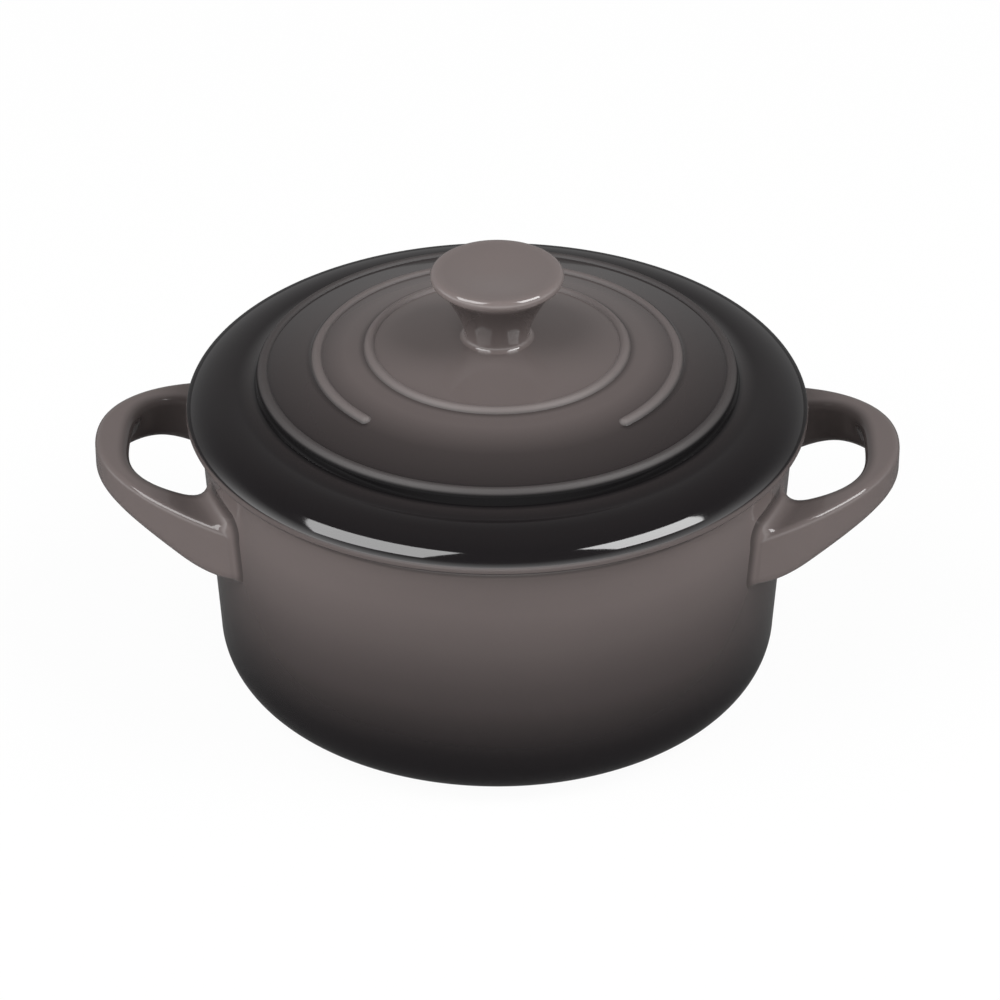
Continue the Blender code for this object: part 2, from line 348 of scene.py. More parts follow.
def turned_mesh(name, profile, segments):
    """A closed mesh spun evenly from a profile."""
    return closed_mesh(name, *turned_points(profile, even_angles(segments)))


def face_outward(mesh):
    """Turns every face outward on a closed mesh."""
    bm = bmesh.new()
    bm.from_mesh(mesh)
    bmesh.ops.recalc_face_normals(bm, faces=bm.faces)
    bm.to_mesh(mesh)
    bm.free()


def piece(name, mesh, material, body, node):
    """A visual piece that rides on a body and takes the place of one CAD node."""
    face_outward(mesh)
    mesh.set_sharp_from_angle(angle=CREASE_ANGLE)
    mesh.materials.append(material)
    made = bpy.data.objects.new(name, mesh)
    bpy.context.scene.collection.objects.link(made)
    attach(made, body)
    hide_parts(node)


def wall_radius(height):
    """The pot's outer wall, a straight taper from the base up to the rim."""
    return POT_BASE_RADIUS + (POT_RIM_RADIUS - POT_BASE_RADIUS) * height / POT_HEIGHT


def pot_profile():
    """From the floor up the inside, over the rim, down the wall, and under the foot ring to the middle."""
    inner_top = POT_FLOOR + POT_INNER_CORNER
    inner_x = wall_radius(inner_top) - POT_WALL - POT_INNER_CORNER
    rim_level = POT_HEIGHT - POT_RIM_ROUND
    rim_x = wall_radius(rim_level)
    foot_outer = wall_radius(POT_CORNER) - POT_CORNER
    foot_inner = foot_outer - FOOT_WIDTH
    points = [(0.0, POT_FLOOR)]
    points += line((0.0, POT_FLOOR), (inner_x, POT_FLOOR), POT_FLOOR_STEPS)
    points += arc((inner_x, inner_top), POT_INNER_CORNER, POT_INNER_CORNER, -90, 0, INNER_CORNER_STEPS)
    points += line(points[-1], (rim_x - POT_WALL, rim_level), INNER_WALL_STEPS)
    inner_rim = (rim_x - POT_WALL + POT_RIM_ROUND, rim_level)
    outer_rim = (rim_x - POT_RIM_ROUND, rim_level)
    points += arc(inner_rim, POT_RIM_ROUND, POT_RIM_ROUND, 180, 90, RIM_STEPS)
    points += arc(outer_rim, POT_RIM_ROUND, POT_RIM_ROUND, 90, 0, RIM_STEPS)
    points += line(points[-1], (wall_radius(POT_CORNER), POT_CORNER), OUTER_WALL_STEPS)
    points += arc((foot_outer, POT_CORNER), POT_CORNER, POT_CORNER, 0, -90, OUTER_CORNER_STEPS)
    points += line(points[-1], (foot_inner + FOOT_ROUND, 0.0), FOOT_STEPS)
    points += arc((foot_inner + FOOT_ROUND, FOOT_ROUND), FOOT_ROUND, FOOT_ROUND, -90, -180, FOOT_STEPS)
    recess = foot_inner - FOOT_RECESS
    points += arc((recess, FOOT_RECESS - FOOT_ROUND), FOOT_ROUND, FOOT_ROUND, 0, 90, FOOT_STEPS)
    points += line(points[-1], (0.0, FOOT_RECESS), RECESS_STEPS)
    points.append((0.0, FOOT_RECESS))
    return points


# Places that follow from the sizes
LID_SEAT = POT_HEIGHT + SEAT_GAP
VALLEY_HEIGHT = LID_SEAT + LID_EDGE_HEIGHT + SHOULDER_RISE
SHOULDER_EDGE = LID_RADIUS - SHOULDER_RUN
VALLEY_EDGE = SHOULDER_EDGE - VALLEY_WIDTH
DOME_EDGE = VALLEY_EDGE - STEP_RUN
RING_RADII = tuple(DOME_EDGE - inset for inset in RING_INSETS)
STEP_TOP = RING_RADII[0] + RING_WIDTH / 2
WALL_FOOT = STEP_TOP + WALL_RUN
HOLE_ROOT = HANDLE_TIP - BAND_WIDTH - HOLE_DEPTH
FLANGE_OUTER = wall_radius(POT_HEIGHT) - POT_WALL - FLANGE_CLEARANCE
FLANGE_INNER = FLANGE_OUTER - FLANGE_WIDTH


def dome_height(radius):
    """The lid's dome without its rings."""
    return VALLEY_HEIGHT + STEP_RISE + DOME_RISE * (1 - (radius / DOME_EDGE) ** 2)


LID_CROWN = dome_height(KNOB_SEAT)


def lid_top(radius, from_front):
    """Height of the ringed dome, of the wall round it and of the apron at its foot. One ring has two ends."""
    radius, from_front = np.broadcast_arrays(radius, from_front)
    height = dome_height(np.clip(radius, KNOB_SEAT, STEP_TOP))
    for index, crest in enumerate(RING_RADII):
        past_end = np.maximum(RING_BREAK - from_front, 0) * crest if index == BROKEN_RING else 0.0
        away = ((radius - crest) ** 2 + past_end ** 2) / (RING_WIDTH / 2) ** 2
        height = height + RING_HEIGHT * np.clip(1 - away, 0, 1)
    share = np.clip((radius - WALL_FOOT) / (VALLEY_EDGE - WALL_FOOT), 0, 1)
    apron = VALLEY_HEIGHT + (dome_height(STEP_TOP) - WALL_DROP - VALLEY_HEIGHT) * (1 - share) ** 2
    return height + (apron - height) * np.clip((radius - STEP_TOP) / WALL_RUN, 0, 1)


def lid_underside(radius):
    """Height of the hollow under the lid."""
    centre = LID_CROWN - LID_THICKNESS
    return centre - (centre - LID_SEAT - UNDERSIDE_STEP) * (radius / FLANGE_INNER) ** 2


def lid_angles():
    """Directions round the lid, closer together where the middle ring ends."""
    front = -math.pi / 2
    angles = list(even_angles(TURN_SEGMENTS))
    for end in (front - RING_BREAK, front + RING_BREAK):
        angles += list(np.linspace(end - RING_END_SPAN, end + RING_END_SPAN, RING_END_STEPS) % math.tau)
    return np.unique(np.array(angles))


def lid_top_radii():
    """Where the lid's top has rings of points: from the crown, over the raised rings, to the shoulder."""
    radii = [KNOB_SEAT * k / CROWN_STEPS for k in range(1, CROWN_STEPS)]
    over_ring = np.linspace(0, math.pi, RING_STEPS, endpoint=False)
    start = KNOB_SEAT
    for crest in reversed(RING_RADII):
        radii += list(np.linspace(start, crest - RING_WIDTH / 2, TERRACE_STEPS, endpoint=False))
        radii += list(crest - RING_WIDTH / 2 * np.cos(over_ring))
        start = crest + RING_WIDTH / 2
    radii += list(np.linspace(STEP_TOP, WALL_FOOT, LID_WALL_STEPS, endpoint=False))
    radii += list(np.linspace(WALL_FOOT, VALLEY_EDGE, APRON_STEPS, endpoint=False))
    radii += list(np.linspace(VALLEY_EDGE, SHOULDER_EDGE, VALLEY_STEPS, endpoint=False))
    return np.array(radii)[:, None]


def lid_lower_profile():
    """The shoulder, edge, seat, flange and underside, after the crown's pole."""
    edge = LID_RADIUS - LID_EDGE_ROUND
    level = LID_SEAT + LID_EDGE_ROUND
    low = LID_SEAT - FLANGE_DEPTH + FLANGE_ROUND
    shoulder = (SHOULDER_EDGE, LID_SEAT + LID_EDGE_HEIGHT)
    points = [(0.0, LID_CROWN)]
    points += arc(shoulder, SHOULDER_RUN, SHOULDER_RISE, 90, 0, SHOULDER_STEPS)
    points += line(points[-1], (LID_RADIUS, level), LID_EDGE_STEPS)
    points += arc((edge, level), LID_EDGE_ROUND, LID_EDGE_ROUND, 0, -90, LID_ROUND_STEPS)
    points += line(points[-1], (FLANGE_OUTER, LID_SEAT), SEAT_STEPS)
    points.append((FLANGE_OUTER, LID_SEAT))
    points += line(points[-1], (FLANGE_OUTER, low), FLANGE_OUTER_STEPS)
    points += arc((FLANGE_OUTER - FLANGE_ROUND, low), FLANGE_ROUND, FLANGE_ROUND, 0, -90, LID_ROUND_STEPS)
    points += arc((FLANGE_INNER + FLANGE_ROUND, low), FLANGE_ROUND, FLANGE_ROUND, -90, -180, LID_ROUND_STEPS)
    points += line(points[-1], (FLANGE_INNER, LID_SEAT + UNDERSIDE_STEP), FLANGE_INNER_STEPS)
    for radius in np.linspace(FLANGE_INNER, 0, UNDERSIDE_STEPS + 1):
        points.append((float(radius), float(lid_underside(radius))))
    return points


def lid_mesh():
    """The ringed dome as a height field, then the turned rest of the lid."""
    angles = lid_angles()
    from_front = np.abs(np.arctan2(np.cos(angles), -np.sin(angles)))
    radii = lid_top_radii()
    heights = lid_top(radii, from_front[None, :])
    top = np.stack([radii * np.cos(angles), radii * np.sin(angles), heights], axis=-1)
    rest, first_pole, last_pole = turned_points(lid_lower_profile(), angles)
    return closed_mesh("lid_glazed", np.concatenate([top, rest]), first_pole, last_pole)


def knob_profile():
    """From the crown up the flaring stem, round the cap's rim and over its dished top."""
    base = LID_CROWN - KNOB_SINK
    rim_x = KNOB_RADIUS - KNOB_RIM_ROUND
    flare_top = KNOB_TOP - 2 * KNOB_RIM_ROUND
    stem_foot = LID_CROWN + KNOB_FILLET
    foot_x = KNOB_STEM + KNOB_FILLET
    points = [(0.0, base), (foot_x, base)]
    points += arc((foot_x, stem_foot), KNOB_FILLET, KNOB_FILLET, -90, -180, KNOB_FILLET_STEPS)
    for t in np.linspace(0, 1, KNOB_FLARE_STEPS + 1)[1:-1]:
        points.append((KNOB_STEM + (rim_x - KNOB_STEM) * t ** KNOB_FLARE_POWER,
                       stem_foot + (flare_top - stem_foot) * t))
    points += arc((rim_x, KNOB_TOP - KNOB_RIM_ROUND), KNOB_RIM_ROUND, KNOB_RIM_ROUND, -90, 90, KNOB_RIM_STEPS)
    for inward in np.linspace(0, 1, KNOB_DISH_STEPS + 1)[1:]:
        points.append((rim_x * (1 - inward), KNOB_TOP - KNOB_DISH * float(smooth(inward))))
    return points


def half_loop(tip, depth, half_width, power, neck=0.0):
    """Half of a D-shaped outline seen from above, from its tip to its side, with a neck at the wall."""
    angles = np.linspace(0, math.pi / 2, OUTLINE_STEPS)
    x = tip - depth + depth * np.clip(np.cos(angles), 0, 1) ** (2 / power)
    y = half_width * np.sin(angles) ** (2 / power)
    wall = wall_radius(POT_HEIGHT / 2)
    inside = wall - 2 * ROOT_DEPTH
    x = np.append(x, math.sqrt(inside ** 2 - half_width ** 2))
    y = np.append(y, half_width)
    used = np.count_nonzero(np.hypot(x, y) > inside) + 1
    x = x[:used]
    y = y[:used]
    drawn_in = np.clip(1 - (np.hypot(x, y) - wall) / NECK_RUN, 0, 1)
    y = y - neck * (1 - np.sqrt(1 - drawn_in ** 2))
    lengths = np.append(0, np.cumsum(np.hypot(np.diff(x), np.diff(y))))
    at = np.linspace(0, lengths[-1], BAND_STATIONS)
    return np.stack([np.interp(at, lengths, x), np.interp(at, lengths, y)], axis=-1)


def band_section():
    """Points round the band: share of its width, extra inset, share of its height, and extra height."""
    corners = []
    rounds = (OUTER_TOP_ROUND, INNER_TOP_ROUND, INNER_BOTTOM_ROUND, OUTER_BOTTOM_ROUND)
    for quarter, radius in enumerate(rounds):
        side = 0.0 if quarter in (0, 3) else 1.0
        top = 1.0 if quarter in (0, 1) else 0.0
        corner = []
        for angle in np.linspace(0, math.pi / 2, CORNER_STEPS + 1) + quarter * math.pi / 2:
            inset = (1 - 2 * side) * radius - radius * math.cos(angle)
            corner.append((side, inset, top, (1 - 2 * top) * radius + radius * math.sin(angle)))
        corners.append(np.array(corner))
    points = []
    for corner, after in zip(corners, corners[1:] + corners[:1]):
        points += list(corner)
        for k in range(1, FACE_STEPS):
            points.append(corner[-1] + (after[0] - corner[-1]) * k / FACE_STEPS)
    return np.array(points)


SECTION = band_section()


def levelled(back):
    """The way back from the tip, which stops growing softly where the limb nears the wall."""
    ease = np.maximum(1 - np.abs(back - LEVEL_START) / LEVEL_EASE, 0)
    return np.minimum(back, LEVEL_START) - LEVEL_EASE / 4 * ease ** 2


def band_rings(outer, inner):
    """Rounded cross-sections of the band between its two edges, and between its sloping underside and top."""
    across = inner - outer
    width = np.linalg.norm(across, axis=1)[:, None]
    across = across / width
    side, inset, top_share, extra = SECTION.T
    near_tip = smooth(1 - np.abs(inner[:, 1:]) / UNDERCUT_SPAN)
    spread = side * width + inset - side * (1 - top_share) * UNDERCUT * near_tip
    plan = outer[:, None, :] + across[:, None, :] * spread[..., None]
    back = np.maximum(HANDLE_TIP - plan[..., 0], 0) / HANDLE_REACH
    level = POT_HEIGHT - HANDLE_DROP
    top = level - BAND_TOP_FALL * back ** BAND_TOP_POWER
    bottom = level - BAND_TIP_HEIGHT - BAND_BOTTOM_FALL * levelled(back) ** BAND_BOTTOM_POWER
    height = bottom + (top - bottom) * top_share + extra
    return np.concatenate([plan, height[..., None]], axis=-1)


def to_wall(points, depth=0.0):
    """Points moved straight towards or from the pot's axis until they lie this deep under its wall."""
    plan = np.hypot(points[..., 0], points[..., 1])
    scale = (wall_radius(points[..., 2]) - depth) / plan
    return np.stack([points[..., 0] * scale, points[..., 1] * scale, points[..., 2]], axis=-1)


def points_along(track, lengths, at):
    """One point on each lengthwise line of the band, at its own distance along it."""
    return np.array([[np.interp(at[k], lengths[:, k], track[:, k, axis]) for axis in range(3)]
                     for k in range(track.shape[1])])


def wall_crossing(track, lengths, steps):
    """How far along each lengthwise line of the band the pot's wall is met."""
    gap = np.hypot(track[..., 0], track[..., 1]) - wall_radius(track[..., 2])
    first_in = np.argmax(gap < 0, axis=0)
    columns = np.arange(track.shape[1])
    share = gap[first_in - 1, columns] / (gap[first_in - 1, columns] - gap[first_in, columns])
    return lengths[first_in - 1, columns] + share * steps[first_in - 1, columns]


def away_from_root(corner):
    """Directions along the wall, away from the outline where the band meets it."""
    round_root = np.roll(corner, -1, axis=0) - np.roll(corner, 1, axis=0)
    wall_normal = corner * (1, 1, 0)
    wall_normal /= np.linalg.norm(wall_normal, axis=1, keepdims=True)
    away = np.cross(round_root, wall_normal)
    away /= np.linalg.norm(away, axis=1, keepdims=True)
    return away * np.sign(np.sum(away * (corner - corner.mean(axis=0)), axis=1, keepdims=True))


def root_rings(track):
    """Half the loop from its tip to the wall, a soft fillet all round its root, then a buried end."""
    steps = np.linalg.norm(np.diff(track, axis=0), axis=-1)
    lengths = np.concatenate([np.zeros((1, track.shape[1])), np.cumsum(steps, axis=0)])
    meets = wall_crossing(track, lengths, steps)
    corner = to_wall(points_along(track, lengths, meets))
    away = away_from_root(corner)
    up = away[:, 2]
    side = np.where(away[:, 1] > 0, ROOT_OUTER_FILLET, ROOT_INNER_FILLET)
    fillet = side + (np.where(up > 0, ROOT_TOP_FILLET, ROOT_BOTTOM_FILLET) - side) * up ** 2
    leave = meets - fillet
    shares = 1 - np.linspace(1, 0, LIMB_STEPS + 1) ** LIMB_CROWDING
    rings = [points_along(track, lengths, leave * share) for share in shares]
    first = rings[-1]
    last = to_wall(corner + away * fillet[:, None], ROOT_SINK)
    for k in range(1, FILLET_STEPS + 1):
        u = k / FILLET_STEPS
        rings.append(first * (1 - u) ** 2 + corner * 2 * u * (1 - u) + last * u ** 2)
    rings.append(to_wall(corner, ROOT_DEPTH))
    return np.array(rings), to_wall(corner.mean(axis=0)[None], ROOT_DEPTH)[0]


def handle_mesh(name, turn):
    """A loop made of two mirrored halves, turned round the pot's axis."""
    outer = half_loop(HANDLE_TIP, HANDLE_DEPTH, HANDLE_HALF_WIDTH, HANDLE_POWER, NECK_DROP)
    inner = half_loop(HANDLE_TIP - BAND_WIDTH, HOLE_DEPTH, HOLE_HALF_WIDTH, HOLE_POWER)
    half, pole = root_rings(band_rings(outer, inner))
    flip = np.array((1, -1, 1))
    rings = np.concatenate([half[:0:-1] * flip, half])
    spin = np.array(((math.cos(turn), math.sin(turn), 0), (-math.sin(turn), math.cos(turn), 0), (0, 0, 1)))
    return closed_mesh(name, rings @ spin, (pole * flip) @ spin, pole @ spin)


def feed(tree, socket, value):
    """Gives an input a plain value, or links it to an output."""
    if isinstance(value, bpy.types.NodeSocket):
        tree.links.new(value, socket)
    else:
        socket.default_value = value


def node(tree, kind, inputs=(), **settings):
    """Adds a shader node. Each input is a plain value or the output it is linked to."""
    made = tree.nodes.new("ShaderNode" + kind)
    for key, value in settings.items():
        setattr(made, key, value)
    for key, value in (inputs.items() if isinstance(inputs, dict) else enumerate(inputs)):
        feed(tree, made.inputs[key], value)
    return made


def calc(tree, operation, *inputs):
    """The result of a Math node."""
    return node(tree, "Math", inputs, operation=operation).outputs[0]


def between(tree, value, low, high, start=0.0, end=1.0):
    """From start, where the value is low, to end, where it is high, eased at both."""
    return node(tree, "MapRange", (value, low, high, start, end), interpolation_type="SMOOTHSTEP").outputs[0]


def mixed(tree, share, first, second, blend="MIX"):
    """Two colours blended. A Mix node takes them at inputs 6 and 7 and gives the result at output 2."""
    made = node(tree, "Mix", data_type="RGBA", blend_type=blend)
    for socket, value in ((0, share), (6, first), (7, second)):
        feed(tree, made.inputs[socket], value)
    return made.outputs[2]


def clouds(tree, spot, scale, detail=1.0):
    """Soft noise around 0.5."""
    return node(tree, "TexNoise", {"Vector": spot, "Scale": scale, "Detail": detail}).outputs[0]


def shade(share):
    """A glaze colour on the way from charcoal to taupe."""
    return tuple(c + (t - c) * share for c, t in zip(CHARCOAL, TAUPE)) + (1.0,)


def ramp(tree, value, stops, span):
    """Glaze colours along a length: pairs of a place from 0 to span, and a share of taupe."""
    made = node(tree, "ValToRGB", (calc(tree, "DIVIDE", value, span),))
    elements = made.color_ramp.elements
    while len(elements) < len(stops):
        elements.new(0.5)
    for element, (place, share) in zip(elements, stops):
        element.position = place / span
        element.color = shade(share)
    return made.outputs[0]


def length(tree, first, second):
    """The length of a vector from its two parts."""
    square = calc(tree, "MULTIPLY_ADD", first, first, calc(tree, "MULTIPLY", second, second))
    return calc(tree, "SQRT", square)


def darkened(tree, mask, colour, share):
    """A colour times a share where the mask is 1."""
    return mixed(tree, mask, colour, mixed(tree, 1.0, colour, (share, share, share, 1.0), "MULTIPLY"))


def wall_at(tree, height):
    """The radius of the pot's outer wall at a height."""
    slope = (POT_RIM_RADIUS - POT_BASE_RADIUS) / POT_HEIGHT
    return calc(tree, "MULTIPLY_ADD", height, slope, POT_BASE_RADIUS)


def split(tree, spot):
    """The object's X, Y and Z, and the distance from its upright axis."""
    parts = node(tree, "SeparateXYZ", (spot,)).outputs
    return parts[0], parts[1], parts[2], length(tree, parts[0], parts[1])


def glaze(name, paint, index=POT_INDEX, clay_below=None):
    """A fired glaze: a painted colour with faint clouding, a gently waved surface and an uneven gloss."""
    made = bpy.data.materials.new(name)
    made.use_nodes = True
    tree = made.node_tree
    shader = tree.nodes["Principled BSDF"]
    spot = node(tree, "TexCoord").outputs["Object"]
    wide = clouds(tree, spot, CLOUD_SCALE, CLOUD_DETAIL)
    fine = clouds(tree, spot, SPECK_SCALE, SPECK_DETAIL)
    colour, matte, shine = paint(tree, spot)
    tone = calc(tree, "ADD", calc(tree, "MULTIPLY_ADD", wide, CLOUD_DEPTH, 1 - CLOUD_DEPTH / 2),
                calc(tree, "MULTIPLY_ADD", fine, SPECK_DEPTH, -SPECK_DEPTH / 2))
    grey = node(tree, "CombineColor", (tone, tone, tone)).outputs[0]
    colour = mixed(tree, 1.0, colour, grey, "MULTIPLY")
    rough = calc(tree, "MULTIPLY_ADD", wide, GLAZE_ROUGH_SPREAD, GLAZE_ROUGH)
    rough = calc(tree, "MAXIMUM", rough, matte)
    if clay_below is not None:
        height = node(tree, "SeparateXYZ", (spot,)).outputs[2]
        bare = calc(tree, "SUBTRACT", 1.0, between(tree, height, clay_below, clay_below + CLAY_FADE))
        colour = mixed(tree, bare, colour, CLAY)
        rough = calc(tree, "MAXIMUM", rough, calc(tree, "MULTIPLY", bare, CLAY_ROUGH))
    peel = clouds(tree, spot, PEEL_SCALE)
    bump = node(tree, "Bump", {"Strength": PEEL_STRENGTH, "Distance": PEEL_DEPTH, "Height": peel}).outputs[0]
    tree.links.new(colour, shader.inputs["Base Color"])
    tree.links.new(rough, shader.inputs["Roughness"])
    tree.links.new(bump, shader.inputs["Normal"])
    shader.inputs["IOR"].default_value = index
    feed(tree, shader.inputs["Specular IOR Level"], shine)
    return made


def pot_paint(tree, spot):
    """Taupe above, shading to charcoal at the foot, with a painted shadow of the lid round the rim, and taupe
    inside.
    """
    _, _, z, radius = split(tree, spot)
    drift = calc(tree, "MULTIPLY_ADD", clouds(tree, spot, DRIFT_SCALE), DRIFT_SPAN, -DRIFT_SPAN / 2)
    outside = ramp(tree, calc(tree, "ADD", z, drift), POT_STOPS, POT_HEIGHT)
    # Painted shadow of the lid's overhang round the top of the wall
    rim = between(tree, z, POT_HEIGHT - RIM_SHADOW_LOW, POT_HEIGHT - RIM_SHADOW_HIGH)
    outside = darkened(tree, rim, outside, RIM_SHADOW_DIM)
    depth = calc(tree, "SUBTRACT", wall_at(tree, z), radius)
    past_wall = between(tree, depth, POT_WALL * INSIDE_WALL[0], POT_WALL * INSIDE_WALL[1])
    above_floor = between(tree, z, POT_FLOOR * INSIDE_FLOOR[0], POT_FLOOR * INSIDE_FLOOR[1])
    inside = calc(tree, "MULTIPLY", past_wall, above_floor)
    return mixed(tree, inside, outside, shade(INSIDE_TAUPE)), 0.0, GLAZE_SHINE


def handle_paint(tree, spot):
    """Taupe, painted lighter towards the root where the lid shades it, with painted shade inside the loop and
    along the join with the wall, where glaze also pools.
    """
    x, y, z, radius = split(tree, spot)
    # Lighter towards the root: painted light where the lid shades the handle
    colour = ramp(tree, radius, HANDLE_STOPS, HANDLE_TIP)
    reach = calc(tree, "MAXIMUM", calc(tree, "SUBTRACT", calc(tree, "ABSOLUTE", x), HOLE_ROOT), 0.0)
    along = calc(tree, "POWER", calc(tree, "DIVIDE", reach, HOLE_DEPTH), HOLE_POWER)
    aside = calc(tree, "POWER", calc(tree, "DIVIDE", calc(tree, "ABSOLUTE", y), HOLE_HALF_WIDTH), HOLE_POWER)
    loop = calc(tree, "ADD", along, aside)
    over_wall = calc(tree, "SUBTRACT", radius, wall_at(tree, z))
    # Painted shade inside the loop
    in_loop = between(tree, loop, LOOP_FADE, LOOP_EDGE)
    clear_of_wall = between(tree, over_wall, 0.0, LOOP_START)
    colour = darkened(tree, calc(tree, "MULTIPLY", in_loop, clear_of_wall), colour, LOOP_SHADE_DIM)
    # Glaze pooled in the crease at the wall, and painted shade there
    at_wall = between(tree, over_wall, JOIN_WIDTH, 0.0)
    join = calc(tree, "MULTIPLY", at_wall, calc(tree, "SUBTRACT", 1.0, in_loop))
    return darkened(tree, join, colour, JOIN_POOL_AND_SHADE_DIM), 0.0, GLAZE_SHINE


def ring_masks(tree, x, y, radius):
    """Where the lid's rings are pale, where glaze pools with painted shade on their outer side, and where
    they are matte.
    """
    from_front = calc(tree, "ABSOLUTE", calc(tree, "ARCTAN2", x, calc(tree, "MULTIPLY", y, -1.0)))
    past_end = calc(tree, "MULTIPLY", calc(tree, "SUBTRACT", RING_BREAK, from_front), RING_RADII[BROKEN_RING])
    past_end = calc(tree, "MAXIMUM", past_end, 0.0)
    half = RING_WIDTH / 2
    pale = 0.0
    pools = 0.0
    matte = 0.0
    for index, crest in enumerate(RING_RADII):
        off = calc(tree, "SUBTRACT", radius, crest)
        away = length(tree, off, past_end if index == BROKEN_RING else 0.0)
        outer_side = between(tree, off, half * POOL_START[0], half * POOL_START[1])
        pool = calc(tree, "MULTIPLY", between(tree, away, half + POOL_WIDTH, half), outer_side)
        pale = calc(tree, "ADD", pale, between(tree, away, half * RING_PALE[0], half * RING_PALE[1]))
        pools = calc(tree, "ADD", pools, pool)
        matte = calc(tree, "ADD", matte, between(tree, away, half * RING_MATTE[0], half * RING_MATTE[1]))
    return pale, pools, matte


def lid_above(tree, z, radius):
    """1 on the lid's top and 0 on its underside, told apart by the depth below the dome."""
    bulge = calc(tree, "MULTIPLY", calc(tree, "MULTIPLY", radius, radius), DOME_RISE / DOME_EDGE ** 2)
    depth = calc(tree, "SUBTRACT", calc(tree, "SUBTRACT", dome_height(0.0), z), bulge)
    return between(tree, depth, UNDERSIDE_DEPTH + UNDERSIDE_FADE, UNDERSIDE_DEPTH)


def lid_edge(tree, z):
    """The colour of the pale edge, with a painted shadow along its foot."""
    above_seat = between(tree, z, LID_SEAT - LIP_HIGH, LID_SEAT - LIP_LOW)
    # Painted shadow along the foot of the edge
    lip = calc(tree, "MULTIPLY", between(tree, z, LID_SEAT + LIP_HIGH, LID_SEAT + LIP_LOW), above_seat)
    return mixed(tree, lip, shade(EDGE_TAUPE), shade(LIP_SHADOW_TAUPE))


def lid_paint(tree, spot):
    """A taupe centre, pale matte rings with pooled glaze and painted shade outside them, a dull groove with
    painted shade, a charcoal shoulder, a pale edge with a painted shadow at its foot, and taupe below.
    """
    x, y, z, radius = split(tree, spot)
    pale, pools, matte = ring_masks(tree, x, y, radius)
    above = lid_above(tree, z, radius)
    # DOME_STOPS paint shade into the groove at the step's foot; the pools add pooled glaze and painted shade
    # outside each ring
    top = darkened(tree, pools, ramp(tree, radius, DOME_STOPS, LID_RADIUS), RING_POOL_AND_SHADE_DIM)
    top = mixed(tree, pale, top, ramp(tree, radius, RING_STOPS, LID_RADIUS))
    colour = mixed(tree, above, shade(INSIDE_TAUPE), top)
    edge = between(tree, z, LID_SEAT + EDGE_PALE_HIGH, LID_SEAT + EDGE_PALE_LOW)
    groove = calc(tree, "MULTIPLY", between(tree, radius, STEP_TOP - GROOVE_FADE, STEP_TOP),
                  between(tree, radius, WALL_FOOT + GROOVE_FADE, WALL_FOOT))
    groove = calc(tree, "MULTIPLY", groove, above)
    rough = calc(tree, "MULTIPLY", calc(tree, "MULTIPLY", matte, above), RING_ROUGH)
    shine = calc(tree, "MULTIPLY_ADD", groove, GROOVE_SHINE - GLAZE_SHINE, GLAZE_SHINE)
    return mixed(tree, edge, colour, lid_edge(tree, z)), rough, shine


def knob_paint(tree, spot):
    """Taupe, with painted shade on the stem under the cap."""
    _, _, z, radius = split(tree, spot)
    colour = ramp(tree, radius, KNOB_STOPS, KNOB_RADIUS)
    low = KNOB_TOP - UNDER_CAP_LOW
    # Painted shade on the stem under the cap
    below_cap = between(tree, z, KNOB_TOP - UNDER_CAP_HIGH, low)
    under = calc(tree, "MULTIPLY", below_cap, between(tree, z, LID_CROWN, low))
    return darkened(tree, under, colour, UNDER_CAP_SHADE_DIM), 0.0, GLAZE_SHINE


def direction(azimuth, elevation):
    """The way to a viewer or a lamp. Azimuth counts from -Y towards +X."""
    level = math.cos(elevation)
    return Vector((math.sin(azimuth) * level, -math.cos(azimuth) * level, math.sin(elevation)))


def make_camera():
    """The photo's viewpoint."""
    data = bpy.data.cameras.new("camera")
    data.lens = CAMERA_LENS
    data.sensor_width = SENSOR_WIDTH
    camera = bpy.data.objects.new("camera", data)
    bpy.context.scene.collection.objects.link(camera)
    right = Vector((math.cos(CAMERA_AZIMUTH), math.sin(CAMERA_AZIMUTH), 0))
    back = direction(CAMERA_AZIMUTH, CAMERA_ELEVATION)
    camera.location = right * AIM_RIGHT + Vector((0, 0, AIM_HEIGHT)) + back * CAMERA_DISTANCE
    camera.rotation_mode = "QUATERNION"
    camera.rotation_quaternion = (-back).to_track_quat("-Z", "Y")
    bpy.context.scene.camera = camera


def softbox(name, azimuth, elevation, roll, width, height, radiance):
    """A rectangular lamp aimed at the middle of the pot's mouth and hidden from the camera."""
    data = bpy.data.lights.new(name, "AREA")
    data.shape = "RECTANGLE"
    data.size = width
    data.size_y = height
    data.energy = radiance * math.pi * width * height
    lamp = bpy.data.objects.new(name, data)
    bpy.context.scene.collection.objects.link(lamp)
    back = direction(math.radians(azimuth), math.radians(elevation))
    lamp.location = back * LAMP_DISTANCE + Vector((0, 0, POT_HEIGHT))
    lamp.rotation_mode = "QUATERNION"
    lamp.rotation_quaternion = (-back).to_track_quat("-Z", "Y") @ Quaternion((0, 0, 1), math.radians(roll))
    lamp.visible_camera = False


def seen_plainly(tree, path):
    """1 for what the camera sees directly or through anything clear."""
    return calc(tree, "MAXIMUM", path["Is Camera Ray"], path["Is Transmission Ray"])


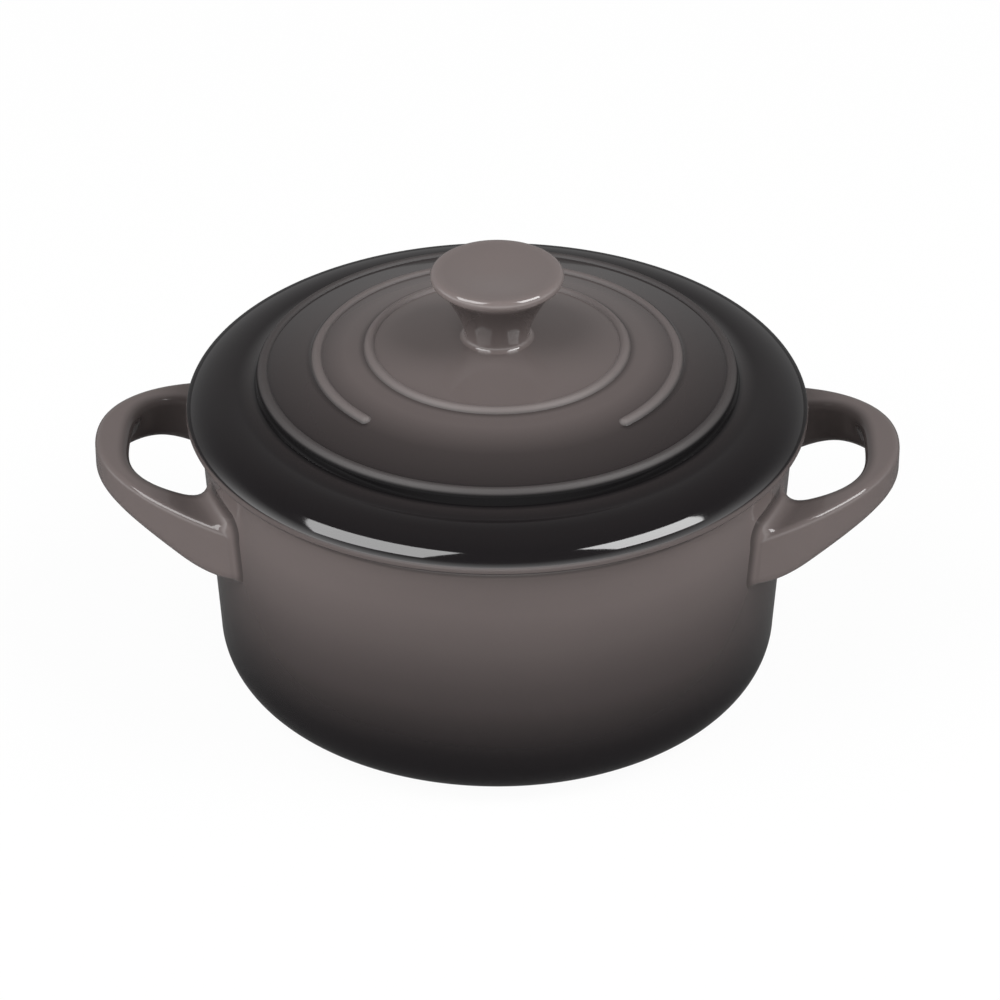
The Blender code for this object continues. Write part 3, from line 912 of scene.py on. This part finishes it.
def make_world():
    """A dim studio with a low bright front, and plain white to the viewer and through anything clear."""
    world = bpy.data.worlds.new("studio")
    bpy.context.scene.world = world
    world.use_nodes = True
    tree = world.node_tree
    tree.nodes.clear()
    sight = node(tree, "TexCoord").outputs["Generated"]
    side, depth, height = node(tree, "SeparateXYZ", (sight,)).outputs
    dim = between(tree, height, *STUDIO_LEVELS, STUDIO_LOW, STUDIO_HIGH)
    path = node(tree, "LightPath").outputs
    low = node(tree, "MapRange", (height, *FRONT_LEVELS, FRONT_STRENGTH, 0.0)).outputs[0]
    low = calc(tree, "MULTIPLY", low, calc(tree, "MULTIPLY_ADD", side, FRONT_LEAN, 1.0))
    fill = calc(tree, "MULTIPLY_ADD", between(tree, depth, *FRONT_EDGES), low, dim)
    studio = node(tree, "Background", {"Color": (1, 1, 1, 1), "Strength": fill})
    white = node(tree, "Background", {"Color": (1, 1, 1, 1), "Strength": 1.0})
    both = node(tree, "MixShader", (seen_plainly(tree, path), studio.outputs[0], white.outputs[0]))
    node(tree, "OutputWorld", (both.outputs[0],))


def make_floor():
    """A pale floor with a soft shadow. Reflections see it with a painted shadow, dim by the pot and white
    further out in front.
    """
    mesh = bpy.data.meshes.new("floor")
    corners = [(x * FLOOR_HALF, y * FLOOR_HALF, 0) for x, y in ((-1, -1), (1, -1), (1, 1), (-1, 1))]
    mesh.from_pydata(corners, [], [(0, 1, 2, 3)])
    floor = bpy.data.objects.new("floor", mesh)
    floor.location.z = -FLOOR_GAP
    bpy.context.scene.collection.objects.link(floor)
    material = bpy.data.materials.new("floor_white")
    material.use_nodes = True
    tree = material.node_tree
    tree.nodes.clear()
    path = node(tree, "LightPath").outputs
    diffuse = node(tree, "BsdfDiffuse", {"Color": (FLOOR_TONE, FLOOR_TONE, FLOOR_TONE, 1)})
    white = node(tree, "Emission", {"Color": (1, 1, 1, 1), "Strength": 1.0})
    whiteness = calc(tree, "MULTIPLY", seen_plainly(tree, path), FLOOR_WHITE)
    plain = node(tree, "MixShader", (whiteness, diffuse.outputs[0], white.outputs[0]))
    spot = node(tree, "TexCoord").outputs["Object"]
    in_front = calc(tree, "MULTIPLY", node(tree, "SeparateXYZ", (spot,)).outputs[1], -1.0)
    # Painted shadow in the floor's reflections, dim near the pot
    far = between(tree, in_front, FLOOR_NEAR, FLOOR_FAR, FLOOR_SHADOW_DIM, 1.0)
    mirrored = node(tree, "Emission", {"Color": (1, 1, 1, 1), "Strength": far})
    both = node(tree, "MixShader", (path["Is Glossy Ray"], plain.outputs[0], mirrored.outputs[0]))
    node(tree, "OutputMaterial", (both.outputs[0],))
    mesh.materials.append(material)


def make_pot():
    """The pot's body, with bare clay on its foot ring."""
    mesh = turned_mesh("pot_glazed", pot_profile(), TURN_SEGMENTS)
    coat = glaze("pot_glaze", pot_paint, clay_below=FOOT_BARE)
    piece("pot_glazed", mesh, coat, "pot", "pot_body")


def make_handle(side, turn):
    """A handle, turned round the pot's axis to its own side."""
    name = side + "_handle_glazed"
    coat = glaze(side + "_handle_glaze", handle_paint)
    piece(name, handle_mesh(name, turn), coat, "pot", side + "_handle")


def make_lid():
    """The lid, with bare clay on the lower edge of its flange."""
    bare = LID_SEAT - FLANGE_DEPTH + FLANGE_BARE
    coat = glaze("lid_glaze", lid_paint, index=LID_INDEX, clay_below=bare)
    piece("lid_glazed", lid_mesh(), coat, "lid", "lid")


def make_knob():
    """The knob, which rides on the lid."""
    mesh = turned_mesh("knob_glazed", knob_profile(), KNOB_SEGMENTS)
    coat = glaze("knob_glaze", knob_paint, index=LID_INDEX)
    piece("knob_glazed", mesh, coat, "lid", "lid_knob")


make_pot()
make_handle("right", 0.0)
make_handle("left", math.pi)
make_lid()
make_knob()

make_camera()
make_world()
make_floor()
softbox("softbox_left", **LEFT_LAMP)
softbox("softbox_right", **RIGHT_LAMP)

bpy.context.scene.view_settings.view_transform = "Standard"
